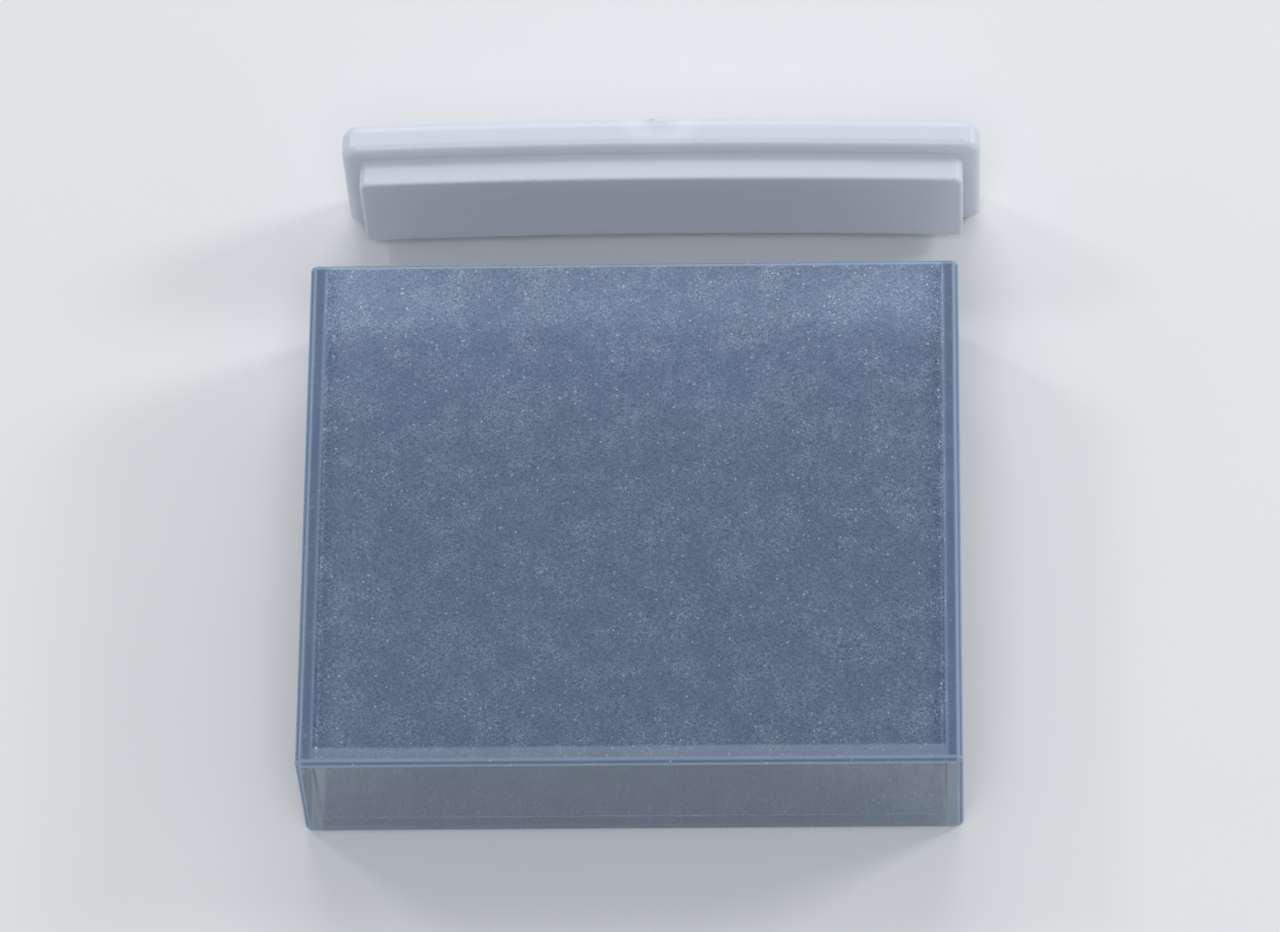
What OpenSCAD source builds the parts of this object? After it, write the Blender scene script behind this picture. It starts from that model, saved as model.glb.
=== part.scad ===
// Rectangular glass cell with a 50 mm light path, and its moulded lid.
// Five glass plates are fused into a box that is open at one end: two clear
// windows on its narrow ends, two broad ground walls, and a base plate that
// fits between the four. The cell lies on one broad wall, with its mouth
// towards +Y. The lid is off: it stands on its long edge beyond the mouth,
// with its plug towards the cell.
// The origin is the middle of the broad face that the cell lies on.

/* [Cell] */
// Light path: distance between the inner faces of the two windows
light_path = 50; // [20:5:100]
// Inner width: distance between the inner faces of the two broad walls
inner_w = 10; // [6:0.5:20]
// Height of the cell, from its foot to the rim of its mouth
cell_h = 45; // [25:1:60]

/* [Glass plates] */
// Thickness of each window
window_t = 1.25; // [1:0.05:2.5]
// Thickness of each broad wall
wall_t = 1.25; // [1:0.05:2.5]
// Thickness of the base plate
base_t = 1.5; // [1:0.1:4]
// Bevel ground along every outer edge of the fused box
bevel = 0.4; // [0.1:0.05:0.6]

/* [Lid] */
// Thickness of the cover plate
cover_t = 3; // [2:0.1:4]
// How far the cover stays inside the outline of the mouth, on each side
cover_inset = 0.1; // [0:0.05:0.5]
// How far the plug stands out of the cover
plug_depth = 2.3; // [1.5:0.1:6]
// Clearance around the plug in the mouth, on each side
plug_clearance = 0.3; // [0.1:0.05:0.6]
// Radius of the four corners of the cover, seen from its back
cover_corner_r = 1.3; // [1.3:0.1:2]
// Rounding around the back of the cover
cover_back_r = 1.2; // [0.2:0.1:1.2]
// Rounding around the front of the cover, on the plug's side
cover_front_r = 0.35; // [0.1:0.05:0.7]
// Radius of the four corners of the plug
plug_corner_r = 0.8; // [0.7:0.1:1.5]
// Rounding around the face of the plug
plug_face_r = 0.3; // [0.1:0.05:0.6]

/* [Placing] */
// Gap from the rim of the mouth to the face of the plug
lid_gap = 8.4; // [1:0.1:40]
// How far the middle of the lid stands to the right of the middle of the cell
lid_offset = 2; // [-10:0.5:10]

/* [Hidden] */

$fn = 64;

// Outline of the fused box
cell_l = light_path + 2 * window_t;
cell_w = inner_w + 2 * wall_t;
foot_y = -cell_h / 2;
rim_y = cell_h / 2;

// Outlines of the cover and the plug, from the mouth that they close
cover_l = cell_l - 2 * cover_inset;
cover_w = cell_w - 2 * cover_inset;
plug_l = light_path - 2 * plug_clearance;
plug_w = inner_w - 2 * plug_clearance;
// The plug reaches into the middle of the cover, so that the two are one solid
plug_t = plug_depth + cover_t / 2;

// A rectangle whose four corners are cut off at 45 degrees
module bevelled_rectangle(size_u, size_v, cut) {
    u = size_u / 2;
    v = size_v / 2;
    polygon([
        [-u + cut, -v], [u - cut, -v], [u, -v + cut], [u, v - cut],
        [u - cut, v], [-u + cut, v], [-u, v - cut], [-u, -v + cut]
    ]);
}

// The fused box as ground outside, solid through, lying on a broad face
module ground_block() {
    translate([0, 0, cell_w / 2]) intersection() {
        linear_extrude(height = cell_w, center = true) bevelled_rectangle(cell_l, cell_h, bevel);
        rotate([90, 0, 0])
            linear_extrude(height = cell_h, center = true) bevelled_rectangle(cell_l, cell_w, bevel);
        rotate([90, 0, 90])
            linear_extrude(height = cell_l, center = true) bevelled_rectangle(cell_h, cell_w, bevel);
    }
}

// A window: a full-width plate at the end of the box, on the side given by -1 or 1
module window(side) {
    middle = side * (light_path + window_t) / 2;
    intersection() {
        ground_block();
        translate([middle, 0, cell_w / 2]) cube([window_t, cell_h, cell_w], center = true);
    }
}

// A broad wall: a plate between the windows, with its underside at the height given
module broad_wall(under) {
    intersection() {
        ground_block();
        translate([-light_path / 2, foot_y, under]) cube([light_path, cell_h, wall_t]);
    }
}

// Strip on y = 0 whose two lower corners are round, as deep as its rounding
module round_strip(len, round_r) {
    translate([-len / 2 + round_r, 0]) square([len - 2 * round_r, round_r]);
    for (side = [-1, 1]) translate([side * (len / 2 - round_r), round_r]) circle(r = round_r);
}

// Cross-section of a plate on y = 0, with its own rounding at the front and at the back
module soft_section(len, thick, front_r, back_r) {
    translate([-len / 2, front_r]) square([len, thick - front_r - back_r]);
    round_strip(len, front_r);
    translate([0, thick]) mirror([0, 1]) round_strip(len, back_r);
}

// A plate on z = 0 with round corners, and with a rounding along all its edges
module soft_plate(len, wid, thick, corner_r, front_r, back_r) {
    core_l = len - 2 * corner_r;
    core_w = wid - 2 * corner_r;
    rotate([90, 0, 90])
        linear_extrude(height = core_l, center = true) soft_section(wid, thick, front_r, back_r);
    rotate([90, 0, 0])
        linear_extrude(height = core_w, center = true) soft_section(len, thick, front_r, back_r);
    for (side_u = [-1, 1], side_v = [-1, 1])
        translate([side_u * core_l / 2, side_v * core_w / 2, 0]) rotate_extrude() intersection() {
            soft_section(2 * corner_r, thick, front_r, back_r);
            square([corner_r, thick]);
        }
}

module window_left() {
    color([0.80, 0.88, 0.93, 0.45]) window(-1);
}

module window_right() {
    color([0.80, 0.88, 0.93, 0.45]) window(1);
}

module side_wall_lower() {
    color([0.42, 0.48, 0.57, 0.85]) broad_wall(0);
}

module side_wall_upper() {
    color([0.42, 0.48, 0.57, 0.85]) broad_wall(cell_w - wall_t);
}

module base_plate() {
    color([0.62, 0.70, 0.78, 0.6])
        translate([-light_path / 2, foot_y, wall_t]) cube([light_path, base_t, inner_w]);
}

// The lid: a cover plate with a plug, moulded as one piece, on its long edge
module lid() {
    color([0.84, 0.88, 0.92])
        translate([lid_offset, rim_y + lid_gap + plug_depth, cover_w / 2]) rotate([-90, 0, 0]) {
            soft_plate(cover_l, cover_w, cover_t, cover_corner_r, cover_front_r, cover_back_r);
            translate([0, 0, -plug_depth])
                soft_plate(plug_l, plug_w, plug_t, plug_corner_r, plug_face_r, plug_face_r);
        }
}

window_left();
window_right();
side_wall_lower();
side_wall_upper();
base_plate();
lid();
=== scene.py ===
# %% [markdown]
# # A glass cuvette and its lid
#
# A cuvette holds a liquid in the light beam of a photometer. This one is a long, flat glass box,
# open at one end. The beam runs along its length, so its two narrow end windows are polished. Its
# broad walls only hold the liquid, so they are ground matt outside. The lid is a white moulded
# stopper, and it stands on its long edge beside the open end.
#
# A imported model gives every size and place. The pieces here are built around it, in metres.

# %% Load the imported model
import math
import bmesh
import bpy
from mathutils import Matrix, Vector


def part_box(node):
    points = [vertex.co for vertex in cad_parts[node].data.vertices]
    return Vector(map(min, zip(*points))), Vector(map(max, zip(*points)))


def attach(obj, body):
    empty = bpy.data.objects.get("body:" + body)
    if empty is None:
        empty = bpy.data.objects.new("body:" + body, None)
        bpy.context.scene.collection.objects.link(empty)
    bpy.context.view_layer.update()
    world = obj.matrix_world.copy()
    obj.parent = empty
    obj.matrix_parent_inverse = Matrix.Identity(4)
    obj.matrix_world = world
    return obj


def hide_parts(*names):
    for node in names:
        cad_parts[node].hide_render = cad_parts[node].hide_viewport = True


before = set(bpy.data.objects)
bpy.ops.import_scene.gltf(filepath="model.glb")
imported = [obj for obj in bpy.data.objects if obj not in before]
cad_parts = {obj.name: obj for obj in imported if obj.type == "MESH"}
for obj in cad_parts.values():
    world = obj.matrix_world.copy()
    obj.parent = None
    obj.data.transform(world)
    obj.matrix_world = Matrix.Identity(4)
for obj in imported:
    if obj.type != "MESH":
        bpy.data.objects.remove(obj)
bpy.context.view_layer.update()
MM = 0.001
print("nodes:", sorted(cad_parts))

# %% [markdown]
# ## The camera
#
# A long lens from far away keeps the sides of the cell nearly parallel, which is how a catalogue
# shows small glassware. The camera looks down steeply, stands a little to the right, and is rolled
# by a few degrees, so that the long edges lie level in the picture. The pieces don't depend on it:
# it comes first only because every later step is easier to judge through it.

# %% Camera
AIM_MM = Vector((0.66, 3.76, 12.5))
CAMERA_DISTANCE_MM = 624.2
CAMERA_ELEVATION = math.radians(62.33)
CAMERA_AZIMUTH = math.radians(4.66)
CAMERA_ROLL = math.radians(-4.62)
LENS_MM = 219.6


def make_camera():
    """A camera that looks at AIM_MM from the given distance and angles."""
    level = math.cos(CAMERA_ELEVATION)
    back = Vector((
        math.sin(CAMERA_AZIMUTH) * level,
        -math.cos(CAMERA_AZIMUTH) * level,
        math.sin(CAMERA_ELEVATION),
    ))
    data = bpy.data.cameras.new("camera")
    data.lens = LENS_MM
    made = bpy.data.objects.new("camera", data)
    bpy.context.collection.objects.link(made)
    turn = back.to_track_quat("Z", "Y").to_matrix().to_4x4()
    roll = Matrix.Rotation(CAMERA_ROLL, 4, "Z")
    made.matrix_world = Matrix.Translation((AIM_MM + back * CAMERA_DISTANCE_MM) * MM) @ turn @ roll
    return made


camera = make_camera()
bpy.context.scene.camera = camera
bpy.context.scene.view_settings.view_transform = "Standard"
print("camera at, mm:", [round(c / MM, 1) for c in camera.location])

# %% [markdown]
# ## Lamps and world
#
# Glass is seen by what it mirrors and bends, so it wants light from all round. An even pale world
# gives less than half of the light. The largest lamp stands behind the part and rather low, so that
# the lid's steps and rounded edges show as lighter and darker bands. Two smaller lamps behind it, on
# the left and right, draw a streak of light down the lid's corners. The right one is the stronger
# and stands lower, so that it also catches the end of the lid. One high in front opens the shadows.
# Together they light the pale floor so that it renders about as its colour is written.

# %% Lamps and world
WORLD_LEVEL = 0.40
WORLD_COLOUR = (0.90, 0.95, 1.0, 1.0)
LAMP_AIM_MM = Vector((0, 5, 6))


def make_lamp(name, place_mm, size_mm, watts):
    """A square soft lamp, turned towards the part."""
    data = bpy.data.lights.new(name, "AREA")
    data.shape = "SQUARE"
    data.size = size_mm * MM
    data.energy = watts
    lamp = bpy.data.objects.new(name, data)
    lamp.location = Vector(place_mm) * MM
    lamp.rotation_euler = (LAMP_AIM_MM * MM - lamp.location).to_track_quat("-Z", "Y").to_euler()
    bpy.context.collection.objects.link(lamp)
    return lamp


def make_world(level):
    """A world of one even pale colour."""
    world = bpy.data.worlds.new("studio")
    world.use_nodes = True
    background = world.node_tree.nodes["Background"]
    background.inputs["Color"].default_value = WORLD_COLOUR
    background.inputs["Strength"].default_value = level
    bpy.context.scene.world = world


make_lamp("lamp_behind", (0, 560, 410), 500, 1.55)
make_lamp("lamp_left", (-430, 300, 440), 110, 0.46)
make_lamp("lamp_right", (520, 220, 330), 160, 1.1)
make_lamp("lamp_front", (0, -300, 600), 360, 1.15)
make_world(WORLD_LEVEL)

# %% [markdown]
# ## Helpers for shader nodes
#
# A finish is a small network of nodes. It could be clicked together by hand, but three short helpers
# write it as text: one puts a node in a tree with its sockets set or linked, one does arithmetic,
# and one opens a node group with named sockets. A value may be a number or another node's output.

# %% Node helpers


def put(tree, kind, sockets=None, **settings):
    """Puts a node in a tree. A socket that is given an output is linked, and any other value is set."""
    node = tree.nodes.new(kind)
    for name, value in settings.items():
        setattr(node, name, value)
    for key, value in (sockets or {}).items():
        if isinstance(value, bpy.types.NodeSocket):
            tree.links.new(value, node.inputs[key])
        else:
            node.inputs[key].default_value = value
    return node


def calc(tree, operation, *values):
    """The output of a Math node."""
    return put(tree, "ShaderNodeMath", dict(enumerate(values)), operation=operation).outputs[0]


def mix_colour(tree, factor, first, second):
    """The first colour where factor is 0, and the second where it is 1."""
    sockets = {"Factor": factor, "A": first, "B": second}
    node = put(tree, "ShaderNodeMix", data_type="RGBA")
    for socket in node.inputs:
        if socket.name in sockets and socket.enabled:
            value = sockets[socket.name]
            if isinstance(value, bpy.types.NodeSocket):
                tree.links.new(value, socket)
            else:
                socket.default_value = value
    return node.outputs[2]


def scale_colour(tree, colour, amount):
    """A colour made lighter or darker by one amount."""
    return put(tree, "ShaderNodeVectorMath", {0: colour, "Scale": amount}, operation="SCALE").outputs[0]


def open_group(name, inputs, outputs):
    """A node group with these named sockets, as the tree, what comes in and what goes out."""
    tree = bpy.data.node_groups.new(name, "ShaderNodeTree")
    for socket, kind in inputs.items():
        tree.interface.new_socket(socket, in_out="INPUT", socket_type="NodeSocket" + kind)
    for socket, kind in outputs.items():
        tree.interface.new_socket(socket, in_out="OUTPUT", socket_type="NodeSocket" + kind)
    return tree, put(tree, "NodeGroupInput").outputs, put(tree, "NodeGroupOutput").inputs


def use_group(tree, group, **sockets):
    """Places a group in a material and returns its outputs. Socket names have no spaces."""
    return put(tree, "ShaderNodeGroup", sockets, node_tree=group).outputs


def start_material(name):
    """A new material, as itself, its node tree and its Principled BSDF."""
    material = bpy.data.materials.new(name)
    material.use_nodes = True
    tree = material.node_tree
    return material, tree, tree.nodes["Principled BSDF"]


def place_in_mm(tree):
    """Where a point lies on the part, in millimetres, as a vector and as X, Y and Z."""
    place = put(tree, "ShaderNodeTexCoord").outputs["Object"]
    scaled = put(tree, "ShaderNodeVectorMath", {0: place, "Scale": 1 / MM}, operation="SCALE").outputs[0]
    axes = put(tree, "ShaderNodeSeparateXYZ", {0: scaled}).outputs
    return scaled, axes["X"], axes["Y"], axes["Z"]


print("node helpers ready")

# %% [markdown]
# ## Effects that several finishes share
#
# Three effects come back in more than one material, so each is a node group, built once.
#
# - cloud: no surface is of one even tone over its whole width. A slow noise around 1 makes the tone
#   drift by a few per cent.
# - line: a soft-edged line at a given distance from a plane, for the fused seams between the plates.
# - grit: what loose abrasive leaves in glass. It has fine curly scratches, a few bright chips, and an
#   even fine grain between them. The curls are the places where a noise passes its middle value, and
#   they are brighter in some patches than in others.
#
# Lengths in the finishes are in millimetres, because the marks on glass are judged in them.

# %% Shared effect: cloud


def make_cloud_group():
    """A factor that wanders around 1. Size is in mm, and Amount is the largest change."""
    inputs = {"Place": "Vector", "Size": "Float", "Amount": "Float"}
    tree, given, result = open_group("cloud", inputs, {"Factor": "Float"})
    per_mm = calc(tree, "DIVIDE", 1.0, given["Size"])
    noise = put(tree, "ShaderNodeTexNoise", {
        "Vector": given["Place"], "Scale": per_mm, "Detail": 3.0, "Roughness": 0.5,
    })
    centred = calc(tree, "MULTIPLY_ADD", noise.outputs["Fac"], 4.0, -2.0)
    limited = calc(tree, "MINIMUM", calc(tree, "MAXIMUM", centred, -1.0), 1.0)
    tree.links.new(calc(tree, "MULTIPLY_ADD", limited, given["Amount"], 1.0), result["Factor"])
    return tree


CLOUD = make_cloud_group()
print("group:", CLOUD.name)

# %% Shared effect: line


def make_line_group():
    """A mask of 1 within Half_Width of Centre, which fades to 0 over Softness. All are in mm."""
    inputs = {"Value": "Float", "Centre": "Float", "Half_Width": "Float", "Softness": "Float"}
    tree, given, result = open_group("line", inputs, {"Mask": "Float"})
    away = calc(tree, "ABSOLUTE", calc(tree, "SUBTRACT", given["Value"], given["Centre"]))
    beyond = calc(tree, "SUBTRACT", away, given["Half_Width"])
    faded = calc(tree, "DIVIDE", beyond, given["Softness"])
    kept = put(tree, "ShaderNodeMath", {0: 1.0, 1: faded}, operation="SUBTRACT", use_clamp=True)
    tree.links.new(kept.outputs[0], result["Mask"])
    return tree


LINE = make_line_group()
print("group:", LINE.name)

# %% Shared effect: grit
CURL_PER_MM = 4.3
CURL_WIDTH = 0.039
CURL_TWIST = 1.2
CURL_LEAST = 0.42
PATCH_PER_MM = 0.45
PATCH_FROM = 0.40
PATCH_FULL = 0.66
CHIP_PER_MM = 2.4
CHIP_RADIUS = 0.23
CHIP_FROM = 0.80
CHIP_FULL = 0.93
GRAIN_PER_MM = 5.8


def make_grit_group():
    """Masks for the curly scratches, the chips and the even grain of a ground face."""
    tree, given, result = open_group(
        "grit", {"Place": "Vector"}, {"Curls": "Float", "Chips": "Float", "Grain": "Float"}
    )
    place = given["Place"]
    winding = put(tree, "ShaderNodeTexNoise", {
        "Vector": place, "Scale": CURL_PER_MM, "Detail": 1.5, "Distortion": CURL_TWIST,
    }).outputs["Fac"]
    patches = put(tree, "ShaderNodeTexNoise", {
        "Vector": place, "Scale": PATCH_PER_MM, "Detail": 3.0, "Roughness": 0.5,
    }).outputs["Fac"]
    on_curl = use_group(
        tree, LINE, Value=winding, Centre=0.5, Half_Width=CURL_WIDTH * 0.3, Softness=CURL_WIDTH
    )["Mask"]
    in_patch = put(tree, "ShaderNodeMapRange", {
        "Value": patches, "From Min": PATCH_FROM, "From Max": PATCH_FULL, "To Min": CURL_LEAST,
    }).outputs["Result"]
    tree.links.new(calc(tree, "MULTIPLY", on_curl, in_patch), result["Curls"])
    cells = put(tree, "ShaderNodeTexVoronoi", {"Vector": place, "Scale": CHIP_PER_MM})
    near = calc(tree, "LESS_THAN", cells.outputs["Distance"], CHIP_RADIUS)
    pick = put(tree, "ShaderNodeSeparateColor", {0: cells.outputs["Color"]}).outputs["Red"]
    bright = put(tree, "ShaderNodeMapRange", {
        "Value": pick, "From Min": CHIP_FROM, "From Max": CHIP_FULL,
    }).outputs["Result"]
    tree.links.new(calc(tree, "MULTIPLY", near, bright), result["Chips"])
    grain = put(tree, "ShaderNodeTexNoise", {"Vector": place, "Scale": GRAIN_PER_MM, "Detail": 2.0})
    tree.links.new(grain.outputs["Fac"], result["Grain"])
    return tree


GRIT = make_grit_group()
print("group:", GRIT.name)

# %% [markdown]
# ## The floor
#
# A plain pale sheet under the part catches its shadow. It lies a hair below the part, because two
# surfaces at the same height would flicker.

# %% Floor
FLOOR_DROP = 0.05 * MM
FLOOR_HALF = 3.0
FLOOR_COLOUR = (0.80, 0.81, 0.82)


def make_floor():
    """A wide matt floor of very slightly uneven tone."""
    mesh = bpy.data.meshes.new("floor")
    corners = [(-1, -1), (1, -1), (1, 1), (-1, 1)]
    mesh.from_pydata([(x * FLOOR_HALF, y * FLOOR_HALF, -FLOOR_DROP) for x, y in corners], [], [(0, 1, 2, 3)])
    made = bpy.data.objects.new("floor", mesh)
    bpy.context.collection.objects.link(made)
    material, tree, shader = start_material("floor_paper")
    place, _, _, _ = place_in_mm(tree)
    tone = use_group(tree, CLOUD, Place=place, Size=30.0, Amount=0.008)["Factor"]
    tree.links.new(scale_colour(tree, FLOOR_COLOUR, tone), shader.inputs["Base Color"])
    shader.inputs["Roughness"].default_value = 0.9
    mesh.materials.append(material)
    return made


floor = make_floor()
print("floor at, mm:", -FLOOR_DROP / MM)

# %% [markdown]
# ## Building by rings
#
# Both pieces are stacks of outlines. The cell's outline runs up its outside, over the rim and down
# the inside. The lid's runs from its back, over the cover, to the face of the plug. Boxes and
# boolean cuts would also give these shapes, but then every small rounding would need a bevel that
# may fail. With rings, each rounding is a few more outlines, and the mesh is closed by construction.
#
# An outline lists its upper half from right to left, and then the lower half from left to right. So
# point i lies right above point -1 - i, and an end can be closed column by column, with four-sided
# faces only.

# %% Ring helpers


def outline(half_x, half_z, corner, along):
    """A closed outline in XZ around (0, 0). corner lists steps in from the side and the top, from the
    side to the top. along lists (x, depth) for the points on the long sides, from right to left."""
    right = [(half_x - dx, half_z - dz) for dx, dz in corner]
    left = [(-x, z) for x, z in reversed(right)]
    upper = right + [(x, half_z - depth) for x, depth in along] + left
    return upper + [(x, -z) for x, z in reversed(upper)]


def round_corner(radius, steps):
    """The steps in along a quarter circle, from the side of a corner to its top."""
    turns = [math.pi / 2 * i / steps for i in range(steps + 1)]
    return [(radius * (1 - math.cos(turn)), radius * (1 - math.sin(turn))) for turn in turns]


def loft(name, rings):
    """A closed mesh through rings of points, with both ends filled column by column."""
    mesh = bmesh.new()
    rows = [[mesh.verts.new(point) for point in ring] for ring in rings]
    count = len(rows[0])
    for row, following in zip(rows, rows[1:]):
        for i in range(count):
            j = (i + 1) % count
            mesh.faces.new((row[i], row[j], following[j], following[i]))
    for row in (rows[0], rows[-1]):
        for i in range(count // 2 - 1):
            mesh.faces.new((row[i], row[i + 1], row[-2 - i], row[-1 - i]))
    bmesh.ops.recalc_face_normals(mesh, faces=mesh.faces)
    data = bpy.data.meshes.new(name)
    mesh.to_mesh(data)
    mesh.free()
    piece = bpy.data.objects.new(name, data)
    bpy.context.collection.objects.link(piece)
    print(name, "has", len(data.vertices), "points and", len(data.polygons), "faces")
    return piece


# %% [markdown]
# ## Sizes of the cell
#
# Five plates are fused into the cell: two windows, two broad walls and a base. Their boxes in the
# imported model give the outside, the hollow, and the places of the seams. Only the fine edge work is
# added here: the bevel that keeps glass from chipping, the dulled edge at the mouth, and a hairline
# groove along each fused seam.

# %% Sizes of the cell, in metres
WINDOW_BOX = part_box("window_left")
LOWER_WALL_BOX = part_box("side_wall_lower")
UPPER_WALL_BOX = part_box("side_wall_upper")
BASE_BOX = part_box("base_plate")
HALF_LENGTH = -WINDOW_BOX[0].x
HALF_HOLLOW = -WINDOW_BOX[1].x
HALF_WIDTH = UPPER_WALL_BOX[1].z / 2
HALF_GAP = (UPPER_WALL_BOX[0].z - LOWER_WALL_BOX[1].z) / 2
FOOT_Y = WINDOW_BOX[0].y
RIM_Y = WINDOW_BOX[1].y
HOLLOW_Y = BASE_BOX[1].y

BEVEL = 0.4 * MM
ARRIS = 0.04 * MM
LIP = 0.12 * MM
HOLLOW_CORNER = 0.25 * MM
GROOVE_HALF = 0.06 * MM
GROOVE_DEPTH = 0.02 * MM
print("outside, mm:", round(2 * HALF_LENGTH / MM, 2), "x", round((RIM_Y - FOOT_Y) / MM, 2))
print("light path, mm:", round(2 * HALF_HOLLOW / MM, 2))

# %% [markdown]
# ## The fused cell
#
# The plates are one mesh, and not five. Where plates are fused, the light meets no surface, and two
# touching meshes would show a mirror there instead. So the rings go round all five plates at once:
# from the foot over the bevel, along the outside, over the rim, and down the inside to the base.

# %% The fused cell
DULL = 0.4
CUT_AT_BEVEL_END = 0.9
LIP_MIDDLE = 0.3


def cut_corner(cut):
    """A corner cut off at 45 degrees, with the two ends of the cut dulled."""
    soft = min(ARRIS, cut * DULL)
    along_cut = cut - soft * (1 - DULL)
    return [(0, cut + soft), (soft * DULL, along_cut), (along_cut, soft * DULL), (cut + soft, 0)]


def cell_ring(y, half_x, half_z, corner, groove_depth=0.0):
    """A ring of the cell, with three points for the groove at each seam."""
    seam = min(HALF_HOLLOW, half_x - corner[-1][0] - 1.5 * GROOVE_HALF)
    along = []
    for side in (1, -1):
        for step, depth in ((1, 0.0), (0, groove_depth), (-1, 0.0)):
            along.append((side * seam + step * GROOVE_HALF, depth))
    points = outline(half_x, half_z, corner, along)
    return [(x, y, z + HALF_WIDTH) for x, z in points]


def outside_ring(y, inset, cut):
    """A ring on the outside. Near the ends, the bevel insets it, and the seam's groove runs out."""
    depth = GROOVE_DEPTH if inset == 0 else 0.0
    return cell_ring(y, HALF_LENGTH - inset, HALF_WIDTH - inset, cut_corner(cut), depth)


def inside_ring(y, grow):
    """A ring on the walls of the hollow, grown or shrunk, with rounded upright corners."""
    corner = round_corner(HOLLOW_CORNER, 3)
    return cell_ring(y, HALF_HOLLOW + grow, HALF_GAP + grow, corner)


def bevelled_end(y, inward):
    """The rings from a flat end of the box over its bevel. inward is 1 or -1, away from the end."""
    dulled = ARRIS * (1 - DULL)
    return [
        outside_ring(y, BEVEL + ARRIS, ARRIS),
        outside_ring(y + inward * ARRIS * DULL, BEVEL - dulled, ARRIS),
        outside_ring(y + inward * BEVEL / 2, BEVEL / 2, ARRIS),
        outside_ring(y + inward * (BEVEL - dulled), ARRIS * DULL, BEVEL * CUT_AT_BEVEL_END),
        outside_ring(y + inward * (BEVEL + ARRIS), 0, BEVEL),
    ]


def make_cell():
    """The five fused plates as one closed mesh."""
    rings = bevelled_end(FOOT_Y, 1)
    rings += reversed(bevelled_end(RIM_Y, -1))
    rings.append(inside_ring(RIM_Y, LIP))
    rings.append(inside_ring(RIM_Y - LIP * LIP_MIDDLE, LIP * LIP_MIDDLE))
    rings.append(inside_ring(RIM_Y - LIP, 0))
    for step_in, step_up in reversed(round_corner(HOLLOW_CORNER, 3)):
        rings.append(inside_ring(HOLLOW_Y + step_up, -step_in))
    return loft("cell_glass", rings)


cell = make_cell()

# %% [markdown]
# ## The pale line along each arris, partly a painted highlight
#
# Where a bevel meets a flat face, the sharp arris is dulled with a stone, and the torn glass there is
# paler. Beside every bevel a thin light line is drawn, partly that paler glass and partly a painted
# highlight. The line is only a tenth of a millimetre wide, so it is drawn in the finishes, and both
# ground finishes share one group for it.

# %% Shared effect: arris
ARRIS_HALF = 0.05
ARRIS_FADE = 0.14


# The line is partly paler dulled glass and partly a painted highlight.
def make_arris_group():
    """A mask along the two long edges of each bevel. Place is in mm."""
    tree, given, result = open_group("arris", {"Place": "Vector"}, {"Mask": "Float"})
    axes = put(tree, "ShaderNodeSeparateXYZ", {0: given["Place"]}).outputs
    height = calc(tree, "SUBTRACT", axes["Z"], HALF_WIDTH / MM)
    reaches = [(axes["X"], HALF_LENGTH), (axes["Y"], RIM_Y), (height, HALF_WIDTH)]
    masks = []
    for value, reach in reaches:
        away = calc(tree, "ABSOLUTE", value)
        line = use_group(
            tree, LINE, Value=away, Centre=(reach - BEVEL) / MM, Half_Width=ARRIS_HALF, Softness=ARRIS_FADE
        )
        masks.append(line["Mask"])
    ends = calc(tree, "MAXIMUM", masks[0], masks[1])
    tree.links.new(calc(tree, "MAXIMUM", ends, masks[2]), result["Mask"])
    return tree


ARRIS_HIGHLIGHT_LINE = make_arris_group()
print("group:", ARRIS_HIGHLIGHT_LINE.name)

# %% [markdown]
# ## Finish of the broad walls: ground glass
#
# Loose abrasive turns a polished face into millions of tiny pits. Light goes through, but it leaves
# in all directions, so the wall looks like fog, and nothing behind it shows. Its slate-blue tone is
# mostly painted: painted shade and a painted blue cast of dark blue surroundings behind the frost. A
# little of the light is thrown back at once, which is why the material isn't fully transmissive. The
# colour carries the marks: curls and chips of the abrasive, and a soft pale line at each fused seam.
# A darker band just inside each seam is painted shade. Over the ends of the windows, and over the base
# plate, the glass is solid underneath; the strips there have smoother marks and are lighter with
# painted light. Over the base plate the painted light is the palest, for light coming in through the foot.

# %% Ground glass
GLASS_IOR = 1.51
# The slate-blue tone is mostly painted: painted shade and a painted blue cast of dark blue surroundings
# behind the frost.
SLATE_DARK = (0.099, 0.167, 0.343, 1.0)
SLATE_LIGHT = (0.193, 0.291, 0.490, 1.0)
# Painted shade: the dark band just inside each seam.
SLATE_PAINTED_SHADE = (0.04, 0.09, 0.24, 1.0)
SLATE_FLECK = (0.67, 0.82, 1.0, 1.0)
SLATE_CHIP = (0.76, 0.88, 1.0, 1.0)
# Painted light over the ends of the windows.
SLATE_STRIP_PAINTED_LIGHT = (0.185, 0.28, 0.475, 1.0)
# Painted light over the base plate, the palest.
SLATE_BASE_PAINTED_LIGHT = (0.38, 0.48, 0.665, 1.0)
SLATE_SEAM = (0.32, 0.44, 0.68, 1.0)
# Partly paler dulled glass, partly a painted highlight.
SLATE_ARRIS_HIGHLIGHT = (0.52, 0.68, 0.90, 1.0)
SEAM_MM = HALF_HOLLOW / MM
SEAM_LINE_HALF = 0.03
SEAM_LINE_FADE = 0.17
# Place, width and strength of the band of painted shade inside each seam.
SHADE_BAND_IN = 0.3
SHADE_BAND_HALF = 0.25
SHADE_BAND_FADE = 1.3
SHADE_BAND_SHARE = 0.85
STRIP_SMOOTH_AND_LIGHT = 0.6
BASE_STRIP_MM = (HOLLOW_Y - FOOT_Y) / MM
BASE_STRIP_FADE = 0.2
BASE_STRIP_SHARE = 0.8
GRAIN_DARKEST = 0.32
GRAIN_LIGHTEST = 0.68
GROUND_ROUGHNESS = 0.5
GROUND_THROUGH = 0.68


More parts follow.
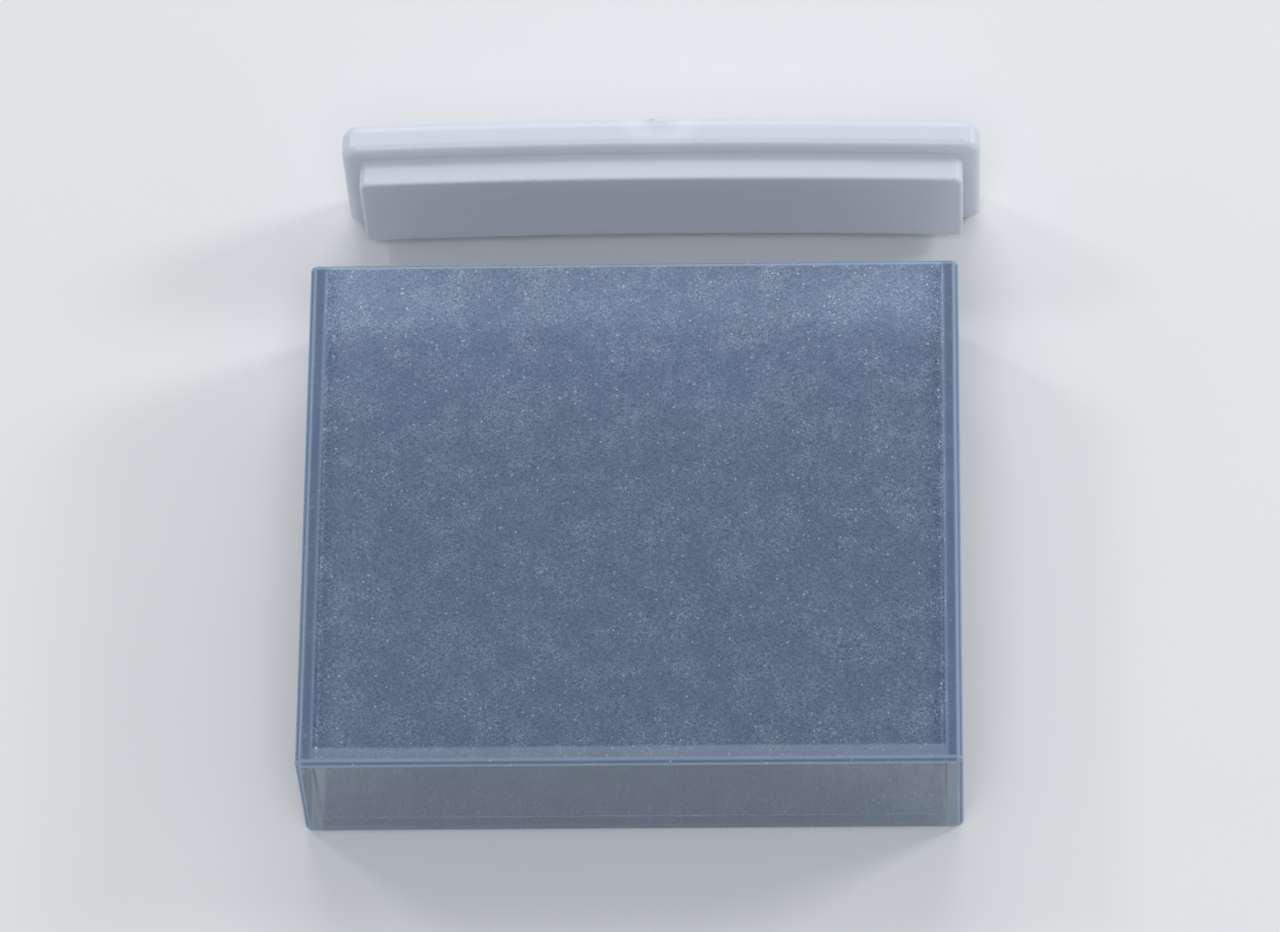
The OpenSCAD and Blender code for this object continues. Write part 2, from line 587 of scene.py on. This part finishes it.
def make_ground_glass():
    """The matt outer faces of the broad walls."""
    material, tree, shader = start_material("ground_glass")
    place, x, y, _ = place_in_mm(tree)
    across = calc(tree, "ABSOLUTE", x)
    grit = use_group(tree, GRIT, Place=place)
    tone = use_group(tree, CLOUD, Place=place, Size=9.0, Amount=0.05)["Factor"]
    # A band of painted shade just inside each seam.
    painted_shade_band = use_group(
        tree, LINE, Value=across, Centre=SEAM_MM - SHADE_BAND_IN,
        Half_Width=SHADE_BAND_HALF, Softness=SHADE_BAND_FADE,
    )["Mask"]
    inside = calc(tree, "LESS_THAN", across, SEAM_MM)
    grain = put(tree, "ShaderNodeMapRange", {
        "Value": grit["Grain"], "From Min": GRAIN_DARKEST, "From Max": GRAIN_LIGHTEST,
    }).outputs["Result"]
    colour = mix_colour(tree, grain, SLATE_DARK, SLATE_LIGHT)
    # Over the window ends: smoother marks, and painted light.
    strip_smooth_and_light = calc(tree, "MULTIPLY", calc(tree, "SUBTRACT", 1.0, inside), STRIP_SMOOTH_AND_LIGHT)
    marked = calc(tree, "SUBTRACT", 1.0, strip_smooth_and_light)
    colour = mix_colour(tree, strip_smooth_and_light, colour, SLATE_STRIP_PAINTED_LIGHT)
    # Over the base plate: a pale strip of painted light.
    over_base = use_group(
        tree, LINE, Value=y, Centre=FOOT_Y / MM,
        Half_Width=BASE_STRIP_MM - BASE_STRIP_FADE / 2, Softness=BASE_STRIP_FADE,
    )["Mask"]
    over_base = calc(tree, "MULTIPLY", calc(tree, "MULTIPLY", over_base, inside), BASE_STRIP_SHARE)
    colour = scale_colour(tree, colour, tone)
    shade = calc(tree, "MULTIPLY", calc(tree, "MULTIPLY", painted_shade_band, inside), SHADE_BAND_SHARE)
    colour = mix_colour(tree, shade, colour, SLATE_PAINTED_SHADE)
    colour = mix_colour(tree, over_base, colour, SLATE_BASE_PAINTED_LIGHT)
    seam = use_group(
        tree, LINE, Value=across, Centre=SEAM_MM, Half_Width=SEAM_LINE_HALF, Softness=SEAM_LINE_FADE
    )["Mask"]
    colour = mix_colour(tree, seam, colour, SLATE_SEAM)
    arris = use_group(tree, ARRIS_HIGHLIGHT_LINE, Place=place)["Mask"]
    colour = mix_colour(tree, arris, colour, SLATE_ARRIS_HIGHLIGHT)
    colour = mix_colour(tree, calc(tree, "MULTIPLY", grit["Curls"], marked), colour, SLATE_FLECK)
    colour = mix_colour(tree, calc(tree, "MULTIPLY", grit["Chips"], marked), colour, SLATE_CHIP)
    tree.links.new(colour, shader.inputs["Base Color"])
    bump = put(tree, "ShaderNodeBump", {"Strength": 0.35, "Distance": 0.01 * MM, "Height": grit["Grain"]})
    tree.links.new(bump.outputs[0], shader.inputs["Normal"])
    shader.inputs["Roughness"].default_value = GROUND_ROUGHNESS
    shader.inputs["IOR"].default_value = GLASS_IOR
    shader.inputs["Transmission Weight"].default_value = GROUND_THROUGH
    return material


ground_glass = make_ground_glass()
print("made", ground_glass.name)

# %% [markdown]
# ## Finish of the windows and the inside: polished glass
#
# A polished face needs little: full transmission and no roughness. What tells it from an empty
# outline is a very faint unevenness. A slow noise in the roughness stands for the haze that wiping
# leaves, and a weak bump bends the reflections.

# %% Polished glass
CLEAR_TINT = (0.95, 0.975, 0.985)
HAZE_ROUGHNESS = 0.012


def make_clear_glass():
    """The polished faces."""
    material, tree, shader = start_material("clear_glass")
    place, _, _, _ = place_in_mm(tree)
    tone = use_group(tree, CLOUD, Place=place, Size=6.0, Amount=0.015)["Factor"]
    tree.links.new(scale_colour(tree, CLEAR_TINT, tone), shader.inputs["Base Color"])
    haze = use_group(tree, CLOUD, Place=place, Size=3.0, Amount=0.9)["Factor"]
    tree.links.new(calc(tree, "MULTIPLY", haze, HAZE_ROUGHNESS), shader.inputs["Roughness"])
    bump = put(tree, "ShaderNodeBump", {"Strength": 0.1, "Distance": 0.01 * MM, "Height": tone})
    tree.links.new(bump.outputs[0], shader.inputs["Normal"])
    shader.inputs["IOR"].default_value = GLASS_IOR
    shader.inputs["Transmission Weight"].default_value = 1.0
    return material


clear_glass = make_clear_glass()
print("made", clear_glass.name)

# %% [markdown]
# ## Finish of the bevels and the rim: dulled edges
#
# The bevels and the rim are ground on a wheel after fusing. They have the slate tone of the broad
# walls, with its painted shade and painted blue cast, a little lighter, and the light line along each
# arris, partly paler glass and partly a painted highlight. The finish of the broad walls could be
# used again, but it carries seams and strips that a bevel doesn't have. So this is a short finish of
# its own, from the same groups.

# %% Dulled edges
# The same slate tone, a little lighter: mostly painted shade and a painted blue cast.
EDGE_COLOUR = (0.17, 0.27, 0.475)
EDGE_GRAIN_LEAST = 0.7
EDGE_GRAIN_SPREAD = 0.6
EDGE_THROUGH = 0.5


def make_edge_glass():
    """The wheel-ground bevels and the rim."""
    material, tree, shader = start_material("edge_glass")
    place, _, _, _ = place_in_mm(tree)
    grit = use_group(tree, GRIT, Place=place)
    grain = calc(tree, "MULTIPLY_ADD", grit["Grain"], EDGE_GRAIN_SPREAD, EDGE_GRAIN_LEAST)
    colour = scale_colour(tree, EDGE_COLOUR, grain)
    arris = use_group(tree, ARRIS_HIGHLIGHT_LINE, Place=place)["Mask"]
    colour = mix_colour(tree, arris, colour, SLATE_ARRIS_HIGHLIGHT)
    colour = mix_colour(tree, grit["Chips"], colour, SLATE_CHIP)
    tree.links.new(colour, shader.inputs["Base Color"])
    bump = put(tree, "ShaderNodeBump", {"Strength": 0.5, "Distance": 0.02 * MM, "Height": grit["Grain"]})
    tree.links.new(bump.outputs[0], shader.inputs["Normal"])
    shader.inputs["Roughness"].default_value = GROUND_ROUGHNESS
    shader.inputs["IOR"].default_value = GLASS_IOR
    shader.inputs["Transmission Weight"].default_value = EDGE_THROUGH
    return material


edge_glass = make_edge_glass()
print("made", edge_glass.name)

# %% [markdown]
# ## Finish of the foot
#
# The foot is the outside of the base plate, with the ends of the walls and windows around it. It is
# fine-ground and lightly polished: one can look in, but softly. Clear glass would show the inside as
# sharp as a window does, and ground glass would hide it. A low roughness that follows the grain lies
# between the two. The seams of the base plate draw a rectangle on it.

# %% Foot
FOOT_COLOUR = (0.74, 0.85, 0.95)
FOOT_SEAM = (0.85, 0.92, 0.98, 1.0)
FOOT_SEAM_HALF = 0.04
FOOT_SEAM_FADE = 0.08
FOOT_MATT = 0.05
FOOT_MATT_SPREAD = 0.08
FOOT_THROUGH = 0.88


def make_foot_glass():
    """The foot, with the seams around the base plate."""
    material, tree, shader = start_material("foot_glass")
    place, x, _, z = place_in_mm(tree)
    across = calc(tree, "ABSOLUTE", x)
    middle = calc(tree, "ABSOLUTE", calc(tree, "SUBTRACT", z, HALF_WIDTH / MM))
    tone = use_group(tree, CLOUD, Place=place, Size=5.0, Amount=0.06)["Factor"]
    colour = scale_colour(tree, FOOT_COLOUR, tone)
    end_seam = use_group(
        tree, LINE, Value=across, Centre=SEAM_MM, Half_Width=FOOT_SEAM_HALF, Softness=FOOT_SEAM_FADE
    )["Mask"]
    side_seam = use_group(
        tree, LINE, Value=middle, Centre=HALF_GAP / MM, Half_Width=FOOT_SEAM_HALF, Softness=FOOT_SEAM_FADE
    )["Mask"]
    between = calc(tree, "LESS_THAN", across, SEAM_MM)
    seams = calc(tree, "MAXIMUM", end_seam, calc(tree, "MULTIPLY", side_seam, between))
    tree.links.new(mix_colour(tree, seams, colour, FOOT_SEAM), shader.inputs["Base Color"])
    grit = use_group(tree, GRIT, Place=place)
    matt = calc(tree, "MULTIPLY_ADD", grit["Grain"], FOOT_MATT_SPREAD, FOOT_MATT)
    tree.links.new(matt, shader.inputs["Roughness"])
    shader.inputs["IOR"].default_value = GLASS_IOR
    shader.inputs["Transmission Weight"].default_value = FOOT_THROUGH
    return material


foot_glass = make_foot_glass()
print("made", foot_glass.name)

# %% [markdown]
# ## Giving each face its finish
#
# Which finish a face has follows from where it lies and where it looks: flat broad faces are ground,
# the windows and everything inside are polished, the foot is its own, and what is left is the bevels
# and the rim. A list of face numbers would do the same, but it would be wrong as soon as a ring is
# added. A rule stays right.

# %% Finish of each face
CLEAR, GROUND, EDGE, FOOT = range(4)
NEARLY_FLAT = 0.99
GROOVE_TILT = 0.89
LIP_REACH = LIP * 0.9
BEVEL_REACH = BEVEL * 0.98


def finish_of(face):
    """The number of the finish that a face of the cell has."""
    centre = face.center
    edge_x = abs(centre.x) > HALF_LENGTH - BEVEL_REACH and abs(face.normal.x) < NEARLY_FLAT
    off_axis = abs(centre.z - HALF_WIDTH)
    inside = (
        abs(centre.x) < HALF_HOLLOW + LIP_REACH
        and off_axis < HALF_GAP + LIP_REACH
        and centre.y > HOLLOW_Y - LIP
    )
    if inside:
        return CLEAR
    if abs(face.normal.z) > GROOVE_TILT and off_axis > HALF_WIDTH - GROOVE_DEPTH * 2 and not edge_x:
        return GROUND
    if abs(face.normal.x) > NEARLY_FLAT:
        return CLEAR
    if face.normal.y < -NEARLY_FLAT:
        return FOOT
    return EDGE


def dress_cell():
    """Gives the cell its four finishes, face by face."""
    for material in (clear_glass, ground_glass, edge_glass, foot_glass):
        cell.data.materials.append(material)
    counts = [0, 0, 0, 0]
    for face in cell.data.polygons:
        face.material_index = finish_of(face)
        counts[face.material_index] += 1
    print("faces clear, ground, edge, foot:", counts)


dress_cell()
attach(cell, "root")
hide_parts("window_left", "window_right", "side_wall_lower", "side_wall_upper", "base_plate")

# %% [markdown]
# ## The lid
#
# The lid is one moulding of soft white plastic: a cover plate as large as the mouth's rim, and a
# plug that drops into the mouth. A moulding has no sharp edge. The back of the cover is well rounded,
# its front less so, and there is a small fillet where the plug starts. As it cooled, the long plate
# bowed by half a millimetre, with its middle towards the back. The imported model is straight, so the
# bow is put in here, as a curve along the rings' long sides. The gate, where the plastic ran into
# the mould, was snapped off in the middle of the upper edge, and left a tiny stump.

# %% Sizes of the lid, in metres
LID_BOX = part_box("lid")
COVER_THICK = 3.0 * MM
COVER_CORNER = 1.3 * MM
BACK_ROUND = 1.2 * MM
FRONT_ROUND = 0.7 * MM
PLUG_CLEARANCE = 0.3 * MM
PLUG_CORNER = 0.8 * MM
PLUG_ROUND = 0.3 * MM
ROOT_FILLET = 0.12 * MM
HOLD = 0.03 * MM
BOW = 0.45 * MM
GATE_HALF = 0.5 * MM
GATE_FLANK = 0.1 * MM
GATE_RISE = 0.13 * MM
GATE_FROM = 0.1 * BACK_ROUND
GATE_TO = 0.5 * BACK_ROUND
LID_COLUMNS = 48
ROUND_STEPS = 6
LID_MIDDLE = (LID_BOX[0] + LID_BOX[1]) / 2
COVER_HALF_X = (LID_BOX[1].x - LID_BOX[0].x) / 2
COVER_HALF_Z = (LID_BOX[1].z - LID_BOX[0].z) / 2
PLUG_HALF_X = HALF_HOLLOW - PLUG_CLEARANCE
PLUG_HALF_Z = HALF_GAP - PLUG_CLEARANCE
BACK_Y = LID_BOX[1].y
FRONT_Y = BACK_Y - COVER_THICK
PLUG_Y = LID_BOX[0].y
print("plug stands out by, mm:", round((FRONT_Y - PLUG_Y) / MM, 2))

# %% Lid rings


def places_along(half_flat):
    """The places of the points along a long side, from right to left, with four for the gate."""
    even = [half_flat * (1 - 2 * (i + 1) / (LID_COLUMNS + 1)) for i in range(LID_COLUMNS)]
    gate = [-GATE_HALF - GATE_FLANK, -GATE_HALF, GATE_HALF, GATE_HALF + GATE_FLANK]
    return sorted(even + gate, reverse=True)


def lid_ring(y, half_x, half_z, radius, stump=0.0):
    """A ring of the lid: a rounded rectangle, bent by the bow. stump lifts the gate's points."""
    along = [(x, 0.0) for x in places_along(half_x - radius)]
    ring = []
    for x, z in outline(half_x, half_z, round_corner(radius, ROUND_STEPS), along):
        share = x / COVER_HALF_X
        bent = y + BOW * (0.5 - share * share)
        lift = stump if z > 0 and abs(x) < GATE_HALF + GATE_FLANK / 2 else 0.0
        ring.append((LID_MIDDLE.x + x, bent + lift, LID_MIDDLE.z + z + lift))
    return ring


def cover_ring(y, inset, stump=0.0):
    """A ring of the cover."""
    return lid_ring(y, COVER_HALF_X - inset, COVER_HALF_Z - inset, COVER_CORNER - inset, stump)


def plug_ring(y, inset):
    """A ring of the plug. A negative inset is the foot of its fillet."""
    return lid_ring(y, PLUG_HALF_X - inset, PLUG_HALF_Z - inset, PLUG_CORNER - inset)


def rounding(radius, steps):
    """The steps in and up over a rounded edge, from its side to its face. One more step on each side
    holds the flat faces beside it flat."""
    return [(0, radius + HOLD)] + round_corner(radius, steps) + [(radius + HOLD, 0)]


def make_lid():
    """The lid, from the back of the cover to the face of the plug."""
    back = []
    for inset, down in reversed(rounding(BACK_ROUND, 10)):
        on_gate = GATE_FROM < inset < GATE_TO
        back.append(cover_ring(BACK_Y - down, inset, GATE_RISE if on_gate else 0.0))
    front = [cover_ring(FRONT_Y + up, inset) for inset, up in rounding(FRONT_ROUND, 6)]
    root = [plug_ring(FRONT_Y - down, -out) for down, out in rounding(ROOT_FILLET, 4)]
    face = [plug_ring(PLUG_Y + up, inset) for inset, up in rounding(PLUG_ROUND, 5)]
    return loft("lid_moulded", back + front + root + face)


lid = make_lid()

# %% [markdown]
# ## Finish of the lid: soft white plastic
#
# Polyethylene is milky: light enters a little way, which softens every shadow edge, so it gets some
# subsurface light. Its skin is satin. A slow cloud in the colour stands for the flow of the plastic,
# and a fine bump for the texture of the mould. Around the gate, the plastic ran in too hot and left
# a blush: a half oval, a little darker in its middle and lighter around it. A few specks are the
# dust that any moulding picks up.

# %% Lid plastic
LID_COLOUR = (0.655, 0.70, 0.765)
LID_SPECK = (0.52, 0.57, 0.64, 1.0)
BLUSH_HALF_X = 2.3
BLUSH_HALF_Y = 1.9
BLUSH_LIGHTER = 0.05
BLUSH_DARKER = 0.04
SPECK_PER_MM = 0.4
SPECK_RADIUS = 0.032
SATIN = 0.27
SATIN_SPREAD = 0.03
MILK_SHARE = 0.5
MILK_DEPTH = 1.0 * MM


def blush_factor(tree, x, y, z):
    """A factor for the oval mark around the gate, on the upper side only."""
    over = calc(tree, "DIVIDE", calc(tree, "SUBTRACT", x, LID_MIDDLE.x / MM), BLUSH_HALF_X)
    back = calc(tree, "SUBTRACT", y, (BACK_Y - 0.3 * BACK_ROUND) / MM)
    back = calc(tree, "DIVIDE", back, BLUSH_HALF_Y)
    squares = calc(tree, "ADD", calc(tree, "MULTIPLY", over, over), calc(tree, "MULTIPLY", back, back))
    reach = calc(tree, "SQRT", squares)
    halo = use_group(tree, LINE, Value=reach, Centre=1.0, Half_Width=0.15, Softness=0.45)["Mask"]
    middle = use_group(tree, LINE, Value=reach, Centre=0.0, Half_Width=0.35, Softness=0.5)["Mask"]
    darker = calc(tree, "MULTIPLY", middle, BLUSH_DARKER)
    change = calc(tree, "SUBTRACT", calc(tree, "MULTIPLY", halo, BLUSH_LIGHTER), darker)
    on_top = calc(tree, "GREATER_THAN", z, (LID_BOX[1].z - BACK_ROUND) / MM)
    return calc(tree, "MULTIPLY_ADD", change, on_top, 1.0)


def speck_mask(tree, place):
    """A few tiny specks of dust."""
    cells = put(tree, "ShaderNodeTexVoronoi", {"Vector": place, "Scale": SPECK_PER_MM})
    return calc(tree, "LESS_THAN", cells.outputs["Distance"], SPECK_RADIUS)


def make_lid_plastic():
    """The satin white of the lid."""
    material, tree, shader = start_material("moulded_plastic")
    place, x, y, z = place_in_mm(tree)
    tone = use_group(tree, CLOUD, Place=place, Size=7.0, Amount=0.015)["Factor"]
    tone = calc(tree, "MULTIPLY", tone, blush_factor(tree, x, y, z))
    colour = scale_colour(tree, LID_COLOUR, tone)
    colour = mix_colour(tree, speck_mask(tree, place), colour, LID_SPECK)
    tree.links.new(colour, shader.inputs["Base Color"])
    fine = use_group(tree, CLOUD, Place=place, Size=0.25, Amount=1.0)["Factor"]
    tree.links.new(calc(tree, "MULTIPLY_ADD", fine, SATIN_SPREAD, SATIN), shader.inputs["Roughness"])
    bump = put(tree, "ShaderNodeBump", {"Strength": 0.08, "Distance": 0.01 * MM, "Height": fine})
    tree.links.new(bump.outputs[0], shader.inputs["Normal"])
    shader.inputs["Subsurface Weight"].default_value = MILK_SHARE
    shader.inputs["Subsurface Radius"].default_value = (1.0, 1.0, 1.0)
    shader.inputs["Subsurface Scale"].default_value = MILK_DEPTH
    return material


lid.data.materials.append(make_lid_plastic())
for face in lid.data.polygons:
    face.use_smooth = True
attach(lid, "root")
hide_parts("lid")
